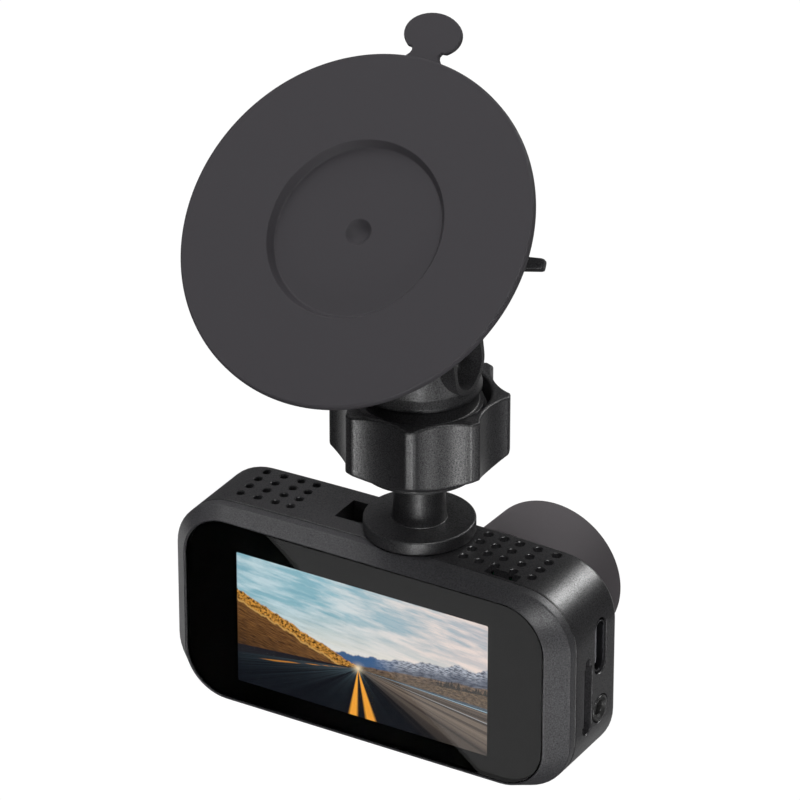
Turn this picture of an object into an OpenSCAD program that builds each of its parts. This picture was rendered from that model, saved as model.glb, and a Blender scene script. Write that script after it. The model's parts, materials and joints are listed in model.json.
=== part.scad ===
// Dash camera hanging from a suction-cup windscreen mount.
// Millimetres, +Z up, +Y the way the lens looks, +X the long side of the camera.
// The origin is the centre of the suction face.

/* [Suction cup] */
// Diameter of the rubber cup
cup_d = 56; // [52:1:60]
// Thickness of the cup at its rim
cup_rim_t = 1.4; // [1.2:0.1:1.8]
// Diameter of the shallow recess in the suction face
recess_d = 28.2; // [26:0.2:30]
// Depth of the shallow recess
recess_depth = 1.4; // [1:0.1:1.5]
// Lean of the suction face from the horizontal stem axis, degrees
tilt = 45; // [40:1:50]
// Length of the pull tab past the rim
tab_len = 7.5; // [6:0.5:9]

/* [Mount] */
// Distance from the suction face to the elbow of the arm
reach = 27; // [26:0.5:32]
// Height of the elbow above the base disc of the ball stud
stem_h = 38.6; // [37:0.2:44]
// Radius of the arm
arm_r = 9; // [8.6:0.1:9.4]
// Length of the lock lever from the cup axis
lever_len = 26.3; // [24:0.1:27.5]
// Angle of the lock lever above the X axis when locked
lever_angle = 10.8; // [0:0.2:20]
// Travel of the pull stud between locked and released
pull_travel = 1.5; // [1:0.1:1.5]

/* [Clamp nut] */
// Radius over the eight ridges
nut_r = 13.9; // [13.6:0.1:14.5]
// Radius at the bottom of the flutes
nut_flute_r = 11.9; // [11.8:0.1:12.2]
// Turn of the ridges about the stem axis
nut_phase = 23.7; // [0:0.1:45]

/* [Ball stud] */
// Radius of the ball
ball_r = 7.5; // [7.3:0.1:7.5]
// Radius of the base disc
disc_r = 8.8; // [8:0.1:10]
// Thickness of the base disc
disc_t = 2.3; // [2:0.1:2.4]

/* [Camera body] */
// Width of the camera body
body_w = 70.8; // [69:0.2:74]
// Height of the camera body
body_h = 34.9; // [34.5:0.1:36]
// Corner radius of the body outline
body_r = 9; // [8:0.5:10]
// Wall thickness
wall = 1.4; // [1.2:0.1:1.4]
// Width of the cover glass
glass_w = 64; // [63:0.2:64.4]
// Height of the cover glass
glass_h = 31.4; // [31:0.1:31.6]
// Offset of the body centre from the stem axis
body_dx = -3.9; // [-4.5:0.1:-3.5]

/* [Lens] */
// Outer radius of the lens barrel of the rear shell
lens_r = 12.05; // [12:0.05:12.4]
// Lens axis, to the right of the body centre
lens_x = 16.1; // [15.8:0.1:16.4]
// Lens axis, below the body top
lens_drop = 14; // [13.6:0.1:14.2]
// How far the barrel rim stands from the stem axis
lens_rim_y = 21.2; // [20.8:0.2:22.4]

/* [Hidden] */
$fn = 72;

// Places worked out from the driving sizes
cup_r = cup_d / 2;
recess_r = recess_d / 2;
stem_y = reach * sin(tilt);
elbow_z = -reach * cos(tilt);
disc_z = elbow_z - stem_h;

// Depths behind the suction face, along the cup axis
boss_end = 7.4;
stud_head = 4.6;
bell_front = 3.1;
bell_back = 9;
ring_front = 9.3;
ring_back = 12.9;
neck_end = 13;
pin_depth = 11.45;

// Heights above the base disc, along the stem axis
ball_z = 13;
nut_collar_z = 8.7;
nut_lobe_z = 12;
nut_top_z = 22;
lip_z = 22.9;
socket_z = 9.5;
fit_gap = 0.08;

// Depths of the camera body along Y, from the stem axis
front_y = -11.2;
crease_y = -8.25;
part_y = -6.55;
back_y = 6.4;
board_y = -1.4;
board_t = 1;
spigot_r = 11.5;
crown_r = 1000;
shell_gap = 0.2;
mid_z = -body_h / 2;

// Openings of the camera body, from the body centre and top
slot_x = -9.7;
slot_w = 5.8;
usb_y = 1.3;
usb_z = -12.1;
card_y = -2.65;
card_z = -19.9;
jack_y = 1.4;
jack_z = -23.3;
jack_bore_r = 1.27;
button_y = 1.1;
grille_x = [-26.5, -23.3, -20.1, -17.3];
vent_x = [13.7, 16.5, 19.3, 22.5, 25.8];
row_y = [4.25, 1.65, -0.95, -3.55];
screw_at = [[-28, -10.5], [-28, -30], [0, -30], [28, -30]];

// ---------------------------------------------------------------- frames

// The cup frame: X as it is, Y up the suction face, Z out of the face
module at_cup() { rotate([tilt, 0, 0]) children(); }

// The stem frame: the origin is the middle of the base disc's top
module at_stem() { translate([0, stem_y, disc_z]) children(); }

// The body frame: the origin is on the body's top, at the middle of its width
module at_body() { at_stem() translate([body_dx, 0, -disc_t - shell_gap]) children(); }

// The lens frame: Z runs along the lens axis, out of the lens
module at_lens() { at_body() translate([lens_x, 0, -lens_drop]) rotate([-90, 0, 0]) children(); }

// ---------------------------------------------------------------- helpers

module ring(r_out, r_in, z0, z1) {
    difference() {
        translate([0, 0, z0]) cylinder(r = r_out, h = z1 - z0);
        translate([0, 0, z0 - 1]) cylinder(r = r_in, h = z1 - z0 + 2);
    }
}

// Rectangle with round corners, centred
module round_rect(w, h, r) {
    square([w - 2 * r, h], center = true);
    square([w, h - 2 * r], center = true);
    for (sx = [-1, 1], sz = [-1, 1])
        translate([sx * (w / 2 - r), sz * (h / 2 - r)]) circle(r = r);
}

// The body outline: long edges crowned by a large radius
module body_outline(inset = 0) {
    h = body_h - 2 * inset;
    intersection() {
        round_rect(body_w - 2 * inset, h, body_r - inset);
        translate([0, h / 2 - crown_r]) circle(r = crown_r, $fn = 1440);
        translate([0, crown_r - h / 2]) circle(r = crown_r, $fn = 1440);
    }
}

// Extrudes an XZ outline along Y from y0 to y1, about the middle of the body's height
module along_y(y0, y1) {
    translate([0, y1, mid_z]) rotate([90, 0, 0]) linear_extrude(y1 - y0) children();
}

// A slot with round ends, its length along Z, cut along X from x0 to x1
module side_slot(x0, x1, len_z, wid_y, y, z) {
    r = wid_y / 2;
    for (s = [-1, 1])
        translate([x0, y, z + s * (len_z / 2 - r)]) rotate([0, 90, 0]) cylinder(r = r, h = x1 - x0);
    translate([x0, y - r, z - len_z / 2 + r]) cube([x1 - x0, wid_y, len_z - wid_y]);
}

module block(x0, x1, y0, y1, z0, z1) {
    translate([x0, y0, z0]) cube([x1 - x0, y1 - y0, z1 - z0]);
}

// ---------------------------------------------------------------- suction mount

// Rubber cup: flexible disc, centre boss that holds the stud head, pull tab
module suction_cup() {
    floor_z = -recess_depth;
    wall_run = 0.9;
    color([0.26, 0.25, 0.26]) at_cup() {
        difference() {
            union() {
                rotate_extrude() polygon([
                    [0, floor_z], [recess_r - wall_run, floor_z], [recess_r, 0], [cup_r - 0.3, 0],
                    [cup_r, -0.3], [cup_r, -cup_rim_t], [18, -3], [6.5, -3.2], [6.5, -boss_end],
                    [0, -boss_end]
                ]);
            }
            translate([0, 0, -stud_head - 1.4 - 0.2]) cylinder(r = 4.8, h = 1.6 + pull_travel + 0.3);
            translate([0, 0, -boss_end - 1]) cylinder(r = 2.4, h = 4);
            translate([0, 0, floor_z + 1.1]) sphere(r = 2.3);
        }
        pull_tab();
    }
}

module pull_tab() {
    head_r = 3.25;
    head_y = cup_r + tab_len - head_r;
    translate([-0.2, 0, -1.3]) linear_extrude(1) {
        for (s = [-1, 1]) translate([1.5 * s, head_y]) circle(r = head_r);
        translate([0, head_y]) square([3, 2 * head_r], center = true);
        translate([-2.4, cup_r - 1]) square([4.8, head_y - cup_r + 1]);
    }
}

// Hard bell behind the cup, with the neck that carries the lock ring
module cup_housing() {
    color([0.12, 0.12, 0.125]) at_cup() difference() {
        rotate_extrude() polygon([
            [15, -bell_front - 0.2], [17, -bell_front - 0.2], [17, -5], [13, -bell_back],
            [9.3, -bell_back], [9.3, -neck_end], [2.3, -neck_end], [2.3, -12], [7.4, -12],
            [7.4, -7.6], [12.4, -7.6], [15, -5]
        ]);
        translate([-9.6, -1.1, -12.4]) cube([19.2, 2.2, 3.5]);
        for (s = [-1, 1]) translate([0, 5 * s, -neck_end - 1]) cylinder(r = 1.15, h = 3);
    }
}

// Stud whose head sits in the rubber boss, drilled for the cross pin
module pull_stud() {
    color([0.09, 0.09, 0.095]) at_cup() difference() {
        union() {
            translate([0, 0, -stud_head - 1.4]) cylinder(r = 4.5, h = 1.4);
            translate([0, 0, -12.8]) cylinder(r = 2, h = 12.8 - stud_head - 0.5);
        }
        translate([-5, 0, -pin_depth]) rotate([0, 90, 0]) cylinder(r = 0.8, h = 10);
    }
}

module cross_pin() {
    color([0.75, 0.75, 0.77]) at_cup() translate([-10.6, 0, -pin_depth])
        rotate([0, 90, 0]) cylinder(r = 0.78, h = 21.2);
}

// Turning ring with the slim lever; its inner pockets carry the ends of the cross pin
module lock_ring() {
    lever_mid = -(ring_front + ring_back) / 2;
    color([0.08, 0.08, 0.085]) at_cup() difference() {
        union() {
            ring(13, 9.6, -ring_back, -ring_front);
            rotate([0, 0, lever_angle]) translate([12.4, 0, lever_mid - 0.8])
                linear_extrude(1.6) polygon([[0, -3.2], [7, -1.2], [lever_len - 12.4, -0.85],
                    [lever_len - 12.4, 0.85], [7, 1.2], [0, 3.2]]);
        }
        intersection() {
            ring(11.2, 9, -12.5, -8.8);
            union() {
                for (s = [0, 180], k = [0:4]) rotate([0, 0, s - 22 * k])
                    translate([4, -2.4, -13]) cube([8, 4.8, 5]);
            }
        }
    }
}

// Elbow arm: flange on the housing, bend, and the split socket that grips the ball
module mount_arm() {
    slit_w = 1.2;
    color([0.15, 0.15, 0.155]) difference() {
        union() {
            at_cup() rotate_extrude() polygon([
                [0, -13], [11, -13], [11, -15.4], [arm_r, -17.4], [arm_r, -reach], [0, -reach]
            ]);
            at_stem() {
                rotate_extrude() polygon([
                    [0, socket_z], [8.4, socket_z], [9.9, 12], [9.9, 14.6], [10.35, 14.6],
                    [10.35, 15.3], [9.9, 15.3], [9.9, 16.6], [10.35, 16.6], [10.35, 17.3],
                    [9.9, 17.3], [9.9, 18.6], [10.35, 18.6], [10.35, 19.3], [9.9, 19.3], [9.9, 20.6],
                    [9.1, 20.6], [9.1, lip_z], [9.6, lip_z], [9.6, lip_z + 0.6],
                    [arm_r, lip_z + 1.9], [arm_r, stem_h], [0, stem_h]
                ]);
                translate([0, 0, stem_h]) sphere(r = arm_r + 0.25);
                for (s = [-1, 1]) arm_pocket_rim(s);
            }
        }
        at_stem() {
            translate([0, 0, ball_z]) sphere(r = ball_r + 1 + 2 * fit_gap);
            translate([0, 0, 8]) cylinder(r = 7.6, h = 4);
            for (a = [45, 135]) rotate([0, 0, a])
                translate([-12, -slit_w / 2, 8]) cube([24, slit_w, 10.5]);
            for (s = [-1, 1]) arm_pocket(s);
        }
        at_cup() {
            translate([0, 0, -13.6]) cylinder(r = 2.4, h = 2);
            for (s = [-1, 1]) translate([0, 5 * s, -19]) cylinder(r = 0.95, h = 8);
        }
    }
}

// Lightening pocket in each flank of the arm
module arm_pocket(side) {
    pocket_at(side, 3.4, 4.6, 12);
}

module arm_pocket_rim(side) {
    pocket_at(side, 4.1, 5, arm_r + 0.15);
}

module pocket_at(side, r, x0, x1) {
    low = [0, -1.3, 29.7];
    high = [0, -2.6, 36];
    lean = atan2(low[1] - high[1], high[2] - low[2]);
    far = norm(high - low);
    translate([side < 0 ? -x1 : x0, low[1], low[2]]) rotate([lean, 0, 0]) {
        rotate([0, 90, 0]) cylinder(r = r, h = x1 - x0);
        translate([0, 0, far]) rotate([0, 90, 0]) cylinder(r = r, h = x1 - x0);
        translate([0, -r, 0]) cube([x1 - x0, 2 * r, far]);
    }
}

module arm_screws() {
    color([0.6, 0.6, 0.62]) at_cup() for (s = [-1, 1]) translate([0, 5 * s, 0]) difference() {
        union() {
            translate([0, 0, -18.6]) cylinder(r = 0.93, h = 6.7);
            translate([0, 0, -12]) cylinder(r = 1.8, h = 1.1);
        }
        translate([-0.3, -1.2, -11.3]) cube([0.6, 2.4, 1]);
        translate([-1.2, -0.3, -11.3]) cube([2.4, 0.6, 1]);
    }
}

// ---------------------------------------------------------------- ball joint

// Friction liner between ball and socket: it turns with the ball
module ball_seat() {
    color([0.82, 0.82, 0.8]) at_stem() difference() {
        intersection() {
            translate([0, 0, ball_z]) sphere(r = ball_r + 1 + fit_gap);
            translate([0, 0, 11]) cylinder(r = 12, h = 8);
        }
        translate([0, 0, ball_z]) sphere(r = ball_r + fit_gap);
    }
}

// Fluted ring nut that squeezes the split socket onto the ball
module clamp_nut() {
    flute_d = 21.3;
    color([0.11, 0.11, 0.115]) at_stem() difference() {
        union() {
            rotate([0, 0, nut_phase]) translate([0, 0, nut_lobe_z]) linear_extrude(nut_top_z - nut_lobe_z)
                difference() {
                    circle(r = nut_r);
                    for (k = [0:7]) rotate(45 * k + 22.5) translate([flute_d, 0])
                        circle(r = flute_d - nut_flute_r);
                }
            translate([0, 0, nut_collar_z]) cylinder(r = 9.4, h = 4);
            translate([0, 0, 10.2]) cylinder(r1 = 9.4, r2 = nut_flute_r - 0.1, h = 1.9);
        }
        translate([0, 0, 12.6]) cylinder(r = 10.95, h = 12);
        translate([0, 0, 9.2]) cylinder(r1 = 8.75, r2 = 10.95, h = 3.42);
        translate([0, 0, 5]) cylinder(r = 7.2, h = 8);
    }
    color([0.11, 0.11, 0.115]) at_stem() for (z = [13.5, 15.75, 17.75]) difference() {
        translate([0, 0, z]) cylinder(r = 11.2, h = 0.5);
        translate([0, 0, z - 1]) cylinder(r = 10.15, h = 3);
    }
}

// Ball, neck, base disc and the tee foot that slides into the camera's rail
module ball_stud() {
    color([0.14, 0.14, 0.145]) at_stem() {
        translate([0, 0, ball_z]) sphere(r = ball_r);
        cylinder(r1 = 4.25, r2 = 3.85, h = 6);
        translate([0, 0, 6]) cylinder(r = 3.85, h = 2);
        translate([0, 0, -disc_t]) cylinder(r = disc_r, h = disc_t);
        block(-2.8, 2.8, -1.3, 1.3, -disc_t - 2.3, -disc_t);
        block(-3.8, 3.8, -2.7, 2.7, -disc_t - 3.4, -disc_t - 1.9);
    }
}

// ---------------------------------------------------------------- camera casing

// Rear shell with the rail slot, vents and port openings
module rear_shell() {
    color([0.17, 0.17, 0.175]) difference() {
        at_body() along_y(part_y, back_y) body_outline();
        at_body() {
            difference() {
                along_y(part_y - 1, back_y - wall) body_outline(wall);
                shell_bosses();
            }
            rail_slot();
            grille_holes(grille_x, 0.7, -1);
            grille_holes(vent_x, 0.78, -1);
            block(18.8, 24.4, -6, -4.2, -wall - 1, 1);
            side_slot(body_w / 2 - wall - 1, body_w / 2 + 1, 9.7, 3.7, usb_y, usb_z);
            side_slot(body_w / 2 - wall - 1, body_w / 2 + 1, 12.2, 2.9, card_y, card_z);
            translate([body_w / 2 - wall - 1, jack_y, jack_z]) rotate([0, 90, 0])
                cylinder(r = 2.3, h = 4);
            side_slot(-body_w / 2 - 1, -body_w / 2 + wall + 1, 6.6, 3.2, button_y, mid_z);
            for (p = screw_at) translate([p[0], -3, p[1]]) rotate([-90, 0, 0])
                cylinder(r = 0.8, h = 7);
        }
        at_lens() cylinder(r = spigot_r + 0.05, h = 12);
    }
}

// Flared barrel that carries the lens, its spigot glued into the rear shell
module lens_barrel() {
    rim = lens_rim_y;
    color([0.2, 0.19, 0.2]) at_lens() rotate_extrude() polygon([
        [10.6, 5.05], [spigot_r, 5.05], [spigot_r, back_y + 0.02], [13.8, back_y + 0.02], [13.2, 7.2],
        [12.7, 8.4], [12.4, 10], [12.25, 13], [lens_r, rim - 0.6], [lens_r - 0.5, rim], [11, rim],
        [11, 18.3], [10.6, 18.3]
    ]);
}

module shell_bosses() {
    for (p = screw_at) translate([p[0], board_y + board_t + 0.02, p[1]])
        rotate([-90, 0, 0]) cylinder(r = 2.1, h = 10);
}

// Wide entry at the left, narrow run at the right for the foot's web
module rail_slot() {
    block(slot_x, -1, -slot_w / 2, slot_w / 2, -wall - 0.5, 1);
    block(-2, -body_dx + 3.1, -1.6, 1.6, -wall - 0.5, 1);
}

module grille_holes(xs, r, z_low) {
    for (x = xs, y = row_y) translate([x, y, -wall - 1]) cylinder(r = r, h = wall + 3);
}

// Sloped frame round the cover glass, with the tongue that enters the rear shell
module front_bezel() {
    lip_w = glass_w + 0.8;
    lip_h = glass_h + 0.7;
    color([0.2, 0.2, 0.205]) at_body() difference() {
        union() {
            hull() {
                along_y(front_y, front_y + 0.05) round_rect(lip_w, lip_h, 7.6, $fn = 48);
                along_y(crease_y - 0.05, crease_y) round_rect(body_w, body_h - 0.2, body_r, $fn = 48);
            }
            along_y(crease_y - 0.04, part_y) body_outline();
            along_y(part_y - 0.1, part_y + 1.2) body_outline(wall + 0.12);
        }
        along_y(front_y - 1, front_y + 1.1) round_rect(glass_w + 0.3, glass_h + 0.3, 7.4);
        along_y(front_y - 1, -9) square([54.4, 27.6], center = true);
        along_y(-9.2, part_y + 2) round_rect(body_w - 4.6, body_h - 3.5, 7);
    }
}

module cover_glass() {
    color([0.02, 0.02, 0.022]) at_body() along_y(front_y + 0.15, front_y + 1.05)
        round_rect(glass_w, glass_h, 7.3);
}

module lcd_panel() {
    color([0.3, 0.45, 0.55]) at_body() translate([0, 0, -0.1]) along_y(-10.1, -8.15)
        square([51, 26.6], center = true);
}

// Folded tray that holds the display against the glass
module lcd_tray() {
    color([0.65, 0.66, 0.68]) at_body() difference() {
        union() {
            along_y(-8.1, -7.5) round_rect(60, 28.4, 3);
            for (s = [-1, 1]) translate([0, 0, mid_z]) block(s * 28.6 - 0.3, s * 28.6 + 0.3, -9.1, -7.5, -6, 6);
        }
        along_y(-9, -7) square([36, 16], center = true);
    }
}

// Flat cable from the display's lower edge to the main board
module display_ribbon() {
    t = 0.2;
    low = -31.9;
    color([0.75, 0.45, 0.15]) at_body() translate([-16, 0, 0]) rotate([90, 0, 90]) linear_extrude(13.6)
        polygon([[-9, -31.3], [-9 + t, -31.3], [-9 + t, low + t], [-1.6 - t, low + t], [-1.6 - t, -29],
            [-1.4, -29], [-1.4, low], [-9, low]]);
}

module backup_cell() {
    color([0.75, 0.76, 0.78]) at_body() translate([-15, 0, -1.5]) along_y(-7.3, -5.2)
        round_rect(26, 19, 1.2);
}

// ---------------------------------------------------------------- electronics

module main_board() {
    color([0.05, 0.3, 0.16]) at_body() difference() {
        translate([0, 0, -2.3]) along_y(board_y, board_y + board_t) round_rect(64, 25, 1.5);
        for (p = screw_at) translate([p[0], -3, p[1]]) rotate([-90, 0, 0]) cylinder(r = 0.95, h = 7);
        for (s = [-1, 1]) block(33.4 * s - 4, 33.4 * s + 4, -3, 2, -36, -30.2);
    }
}

module board_screws() {
    color([0.6, 0.6, 0.62]) at_body() for (p = screw_at) translate([p[0], board_y, p[1]])
        rotate([90, 0, 0]) difference() {
            union() {
                translate([0, 0, -4.6]) cylinder(r = 0.78, h = 4.8);
                cylinder(r = 1.6, h = 0.9);
            }
            translate([-1, -0.25, 0.4]) cube([2, 0.5, 1]);
            translate([-0.25, -1, 0.4]) cube([0.5, 2, 1]);
        }
}

module processor() {
    color([0.08, 0.08, 0.09]) at_body() block(-4, 8, board_y - 1.2, board_y, -24, -12);
}

module memory_chip() {
    color([0.08, 0.08, 0.09]) at_body() block(-18, -9, board_y + board_t, board_y + board_t + 1, -24, -13);
}

module heat_pad() {
    color([0.45, 0.55, 0.75]) at_body() block(-4, 8, board_y - 2.2, board_y - 1.2, -24, -12);
}

module heat_spreader() {
    color([0.78, 0.78, 0.8]) at_body() block(-20, 14, board_y - 3, board_y - 2.2, -28, -9);
}

module microphone() {
    color([0.7, 0.7, 0.66]) at_body() block(19, 22.5, board_y - 1.1, board_y, -10.4, -7.8);
}

module usb_socket() {
    color([0.72, 0.72, 0.74]) at_body() difference() {
        side_slot(27.8, body_w / 2 - 0.25, 8.94, 3.26, usb_y - 0.07, usb_z);
        side_slot(29, body_w / 2 + 1, 8.34, 2.66, usb_y - 0.07, usb_z);
    }
}

module usb_tongue() {
    color([0.1, 0.1, 0.1]) at_body() block(29, body_w / 2 - 0.9, usb_y - 0.42, usb_y + 0.28,
        usb_z - 3.35, usb_z + 3.35);
}

module card_socket() {
    color([0.74, 0.74, 0.76]) at_body() difference() {
        block(18, 33.8, card_y - 1.1, board_y, card_z - 6.6, card_z + 6.6);
        block(19, 40, card_y - 0.75, card_y + 0.75, card_z - 5.85, card_z + 5.85);
    }
}

module memory_card() {
    color([0.06, 0.06, 0.065]) at_body() {
        block(19.9, 34.7, card_y - 0.35, card_y + 0.35, card_z - 5.5, card_z + 5.5);
        block(33.7, 34.7, card_y - 0.5, card_y - 0.3, card_z - 5.3, card_z + 5.3);
    }
}

module av_jack() {
    color([0.1, 0.1, 0.1]) at_body() difference() {
        union() {
            block(26.4, 33.8, board_y + board_t, 4.2, jack_z - 2.7, jack_z + 2.7);
            translate([33.7, jack_y, jack_z]) rotate([0, 90, 0]) cylinder(r = 2.2, h = 1.85);
        }
        translate([27.5, jack_y, jack_z]) rotate([0, 90, 0]) cylinder(r = jack_bore_r, h = 12);
    }
}

module speaker() {
    color([0.2, 0.2, 0.2]) at_body() {
        block(-29, -15, -4.8, 4.8, -5.6, -2.6);
        translate([-22, 0, -2.7]) cylinder(r = 4.4, h = 0.35);
    }
}

module speaker_mesh() {
    color([0.3, 0.3, 0.3]) at_body() block(-28.6, -15.4, -4.7, 4.9, -wall - 0.8, -wall - 0.6);
}

// Tray under the top skin that closes the tee rail
module rail_channel() {
    color([0.13, 0.13, 0.135]) at_body() difference() {
        block(slot_x - 1, 9.1, -3.9, 3.9, -4.4, -wall - 0.1);
        block(slot_x - 0.2, 8.3, -3.1, 3.1, -3.6, 0);
    }
}

module power_button() {
    color([0.1, 0.1, 0.1]) at_body() {
        side_slot(-body_w / 2 - 0.45, -33.4, 6, 2.6, button_y, mid_z);
        side_slot(-33.7, -33.1, 7.8, 4.2, button_y, mid_z);
    }
}

module side_switch() {
    color([0.65, 0.65, 0.66]) at_body() block(-32.5, -29.6, board_y + board_t, 2.7, mid_z - 3, mid_z + 3);
}

// ---------------------------------------------------------------- lens unit

module sensor_board() {
    color([0.05, 0.28, 0.3]) at_body() block(lens_x - 9, lens_x + 9, 0.6, 1.6,
        -lens_drop - 9, -lens_drop + 9);
}

module board_connector() {
    color([0.85, 0.83, 0.76]) at_body() block(12, 20, board_y + board_t, 0.6, -21.5, -19.2);
}

module image_sensor() {
    color([0.15, 0.17, 0.2]) at_body() block(lens_x - 4, lens_x + 4, 1.6, 2.6,
        -lens_drop - 4, -lens_drop + 4);
}

module lens_holder() {
    color([0.09, 0.09, 0.09]) difference() {
        union() {
            at_body() block(lens_x - 7, lens_x + 7, 1.6, 5.2, -lens_drop - 7, -lens_drop + 7);
            at_lens() translate([0, 0, 5]) cylinder(r = 7.2, h = 4.4);
        }
        at_body() block(lens_x - 5, lens_x + 5, 0, 3.6, -lens_drop - 5, -lens_drop + 5);
        at_lens() cylinder(r = 6.02, h = 12);
    }
}

module lens_tube() {
    color([0.05, 0.05, 0.05]) at_lens() difference() {
        rotate_extrude() polygon([[0, 4.4], [6, 4.4], [6, 9.8], [9.2, 9.8], [9.2, 17.4], [0, 17.4]]);
        translate([0, 0, 4]) cylinder(r = 4, h = 20);
        translate([0, 0, 8.6]) cylinder(r = 5.4, h = 20);
        translate([0, 0, 12.6]) cylinder(r = 8.2, h = 20);
    }
}

module rear_lenses() {
    color([0.6, 0.7, 0.75]) at_lens() {
        translate([0, 0, 4.8]) cylinder(r = 3.9, h = 1.2);
        translate([0, 0, 6.6]) cylinder(r = 3.9, h = 1.4);
        translate([0, 0, 8.7]) cylinder(r = 5.3, h = 2);
    }
}

// Domed front element
module front_lens() {
    dome_r = 11;
    color([0.5, 0.6, 0.68]) at_lens() intersection() {
        translate([0, 0, 12.7]) cylinder(r = 8.1, h = 8);
        translate([0, 0, 17.8 - dome_r]) sphere(r = dome_r);
    }
}

module lens_spacer() {
    color([0.06, 0.06, 0.06]) at_lens() ring(5.3, 3.6, 10.8, 12.5);
}

// Front ring pressed into the barrel of the rear shell
module lens_trim_ring() {
    color([0.13, 0.13, 0.135]) at_lens() difference() {
        rotate_extrude() polygon([[7.4, 17.95], [9.8, 17.95], [9.8, 18.5], [10.95, 18.5],
            [10.95, 20.6], [9.9, 20.6], [7.4, 18.6]]);
    }
}

module lens_window() {
    color([0.1, 0.1, 0.12]) at_lens() translate([0, 0, 20.62]) cylinder(r = 10.9, h = 0.35);
}

// ---------------------------------------------------------------- drawing

suction_cup();
cup_housing();
pull_stud();
cross_pin();
lock_ring();
mount_arm();
arm_screws();
ball_seat();
clamp_nut();
ball_stud();
rear_shell();
lens_barrel();
front_bezel();
cover_glass();
lcd_panel();
lcd_tray();
display_ribbon();
backup_cell();
main_board();
board_screws();
processor();
memory_chip();
heat_pad();
heat_spreader();
microphone();
usb_socket();
usb_tongue();
card_socket();
memory_card();
av_jack();
speaker();
speaker_mesh();
rail_channel();
power_button();
side_switch();
sensor_board();
board_connector();
image_sensor();
lens_holder();
lens_tube();
rear_lenses();
front_lens();
lens_spacer();
lens_trim_ring();
lens_window();
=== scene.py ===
"""Looks of the dash camera on its suction-cup mount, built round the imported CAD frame.

Shapes are drawn in millimetres in a few local frames, then written in metres in the row frame.
"""
import json
from math import atan2, cos, pi, radians, sin, sqrt, tan

import bmesh
import bpy
from mathutils import Matrix, Vector


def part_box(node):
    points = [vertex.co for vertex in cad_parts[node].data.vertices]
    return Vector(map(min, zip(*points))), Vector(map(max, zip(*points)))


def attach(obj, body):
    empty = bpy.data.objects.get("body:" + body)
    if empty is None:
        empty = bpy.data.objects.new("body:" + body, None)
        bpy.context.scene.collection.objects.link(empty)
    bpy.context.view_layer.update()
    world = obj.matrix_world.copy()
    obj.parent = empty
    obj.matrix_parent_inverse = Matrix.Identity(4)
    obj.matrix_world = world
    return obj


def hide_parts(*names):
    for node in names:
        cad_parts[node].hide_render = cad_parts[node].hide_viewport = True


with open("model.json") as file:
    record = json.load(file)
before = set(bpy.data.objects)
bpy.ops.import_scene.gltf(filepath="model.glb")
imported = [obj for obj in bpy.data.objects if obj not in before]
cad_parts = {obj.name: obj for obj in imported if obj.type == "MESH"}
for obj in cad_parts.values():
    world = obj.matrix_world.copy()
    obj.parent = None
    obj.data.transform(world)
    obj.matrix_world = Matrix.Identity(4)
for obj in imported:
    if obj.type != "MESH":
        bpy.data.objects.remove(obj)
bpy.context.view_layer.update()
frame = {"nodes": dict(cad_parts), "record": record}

MM = 0.001
record = frame["record"]
joints = {j["name"]: j for j in record["behaviour"]["joints"]}


# ---------------------------------------------------------------- frames, from the CAD

def corners(*nodes):
    """Lowest and highest corner of some CAD nodes together, in millimetres."""
    boxes = [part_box(node) for node in nodes]
    low = Vector(min(b[0][k] for b in boxes) for k in range(3))
    high = Vector(max(b[1][k] for b in boxes) for k in range(3))
    return low / MM, high / MM


def turned(x, y, z, origin):
    """A frame with the given axes, its origin in millimetres."""
    m = Matrix((x, y, z)).transposed().to_4x4()
    m.translation = Vector(origin)
    return m


face_axis = Vector(joints["lock_ring_turn"]["axis"])
TILT = atan2(-face_axis.y, face_axis.z)
ball = Vector(joints["tilt"]["pos_m"]) / MM
# Heights on the stem count up from the top of the base disc
BALL_Z = 13
DISC_Z = ball.z - BALL_Z
# CUP is in the suction face with z out of it; STEM stands on the base disc
CUP = Matrix.Rotation(TILT, 4, "X")
STEM = Matrix.Translation((0, ball.y, DISC_Z))

shell_low, shell_high = corners("rear_shell")
bezel_low = corners("front_bezel")[0]
tube_low, tube_high = corners("lens_tube")
stud_low, stud_high = corners("ball_stud")
cup_low, cup_high = corners("suction_cup")
barrel_high = corners("lens_barrel")[1]

BODY_X = (shell_low.x + shell_high.x) / 2
BODY_W = shell_high.x - shell_low.x
BODY_H = shell_high.z - shell_low.z
BODY_TOP = shell_high.z
FRONT_D = ball.y - bezel_low.y
BODY = Matrix.Translation((BODY_X, ball.y, BODY_TOP))
X, Y, Z = Vector((1, 0, 0)), Vector((0, 1, 0)), Vector((0, 0, 1))
# Towards the driver: x right, y up, z out of the screen, from the middle of the body
FACE = turned(X, Z, -Y, (BODY_X, ball.y, BODY_TOP - BODY_H / 2))
# Out of the body's right side: x towards the lens side, y up
SIDE = turned(Y, Z, X, (BODY_X, ball.y, BODY_TOP))
LENS = turned(X, -Z, Y, ((tube_low.x + tube_high.x) / 2, ball.y, (tube_low.z + tube_high.z) / 2))


# ---------------------------------------------------------------- drawing

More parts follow.
